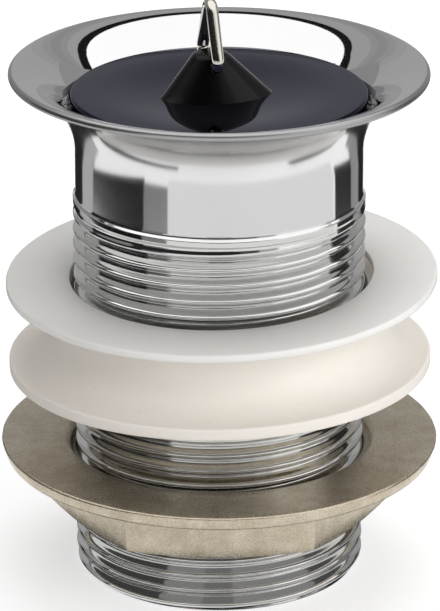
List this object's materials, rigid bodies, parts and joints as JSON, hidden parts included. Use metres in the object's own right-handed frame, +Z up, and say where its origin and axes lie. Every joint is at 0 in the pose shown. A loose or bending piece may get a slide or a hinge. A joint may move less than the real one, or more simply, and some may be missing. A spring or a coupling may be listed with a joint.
{
  "type": "basin drain plug",
  "caption": "Chromed basin waste with a lift-out plug and pull ring, threaded tail, flat washer, profile gasket and flange nut.",
  "frame": {"origin": "on the axis, in the plane of the tail's lower end", "axes": "+Z up along the axis, from the tail to the flange; -Y towards the picture's camera; +X to its right"},
  "size_m": [0.0632, 0.0632, 0.0849],
  "materials": {
    "chromed_brass": "polished, slightly drawn round the thread",
    "dark_gloss_cover": "gloss",
    "black_rubber": "moulded, half gloss",
    "bright_wire": "bright drawn wire",
    "white_plastic": "satin, slightly translucent",
    "cream_rubber": "satin",
    "cast_nut": "rough cast, dull nickel plate"
  },
  "bodies": {
    "waste": {"valve_body": "chromed_brass"},
    "plug": {"plug_cover": "dark_gloss_cover", "rubber_stopper": "black_rubber"},
    "ring": {"pull_ring": "bright_wire"},
    "gasket": {"profile_gasket": "cream_rubber"},
    "washer": {"flat_washer": "white_plastic"},
    "nut": {"flange_nut": "cast_nut"}
  },
  "joints": [
    {"name": "plug_lift", "type": "slide", "parent": "waste", "child": "plug", "axis": [0, 0, 1], "range_m": [0, 0.05]},
    {"name": "ring_swing", "type": "hinge", "parent": "plug", "child": "ring", "pos_m": [-0.00125, 0, 0.07555], "axis": [0.2487, -0.9686, 0], "range_deg": [-95, 100]},
    {"name": "gasket_slide", "type": "slide", "parent": "waste", "child": "gasket", "axis": [0, 0, 1], "range_m": [-0.01, 0.01]},
    {"name": "washer_slide", "type": "slide", "parent": "gasket", "child": "washer", "axis": [0, 0, 1], "range_m": [0, 0.0095]},
    {"name": "nut_travel", "type": "slide", "parent": "waste", "child": "nut", "axis": [0, 0, 1], "range_m": [-0.009, 0.01]}
  ]
}
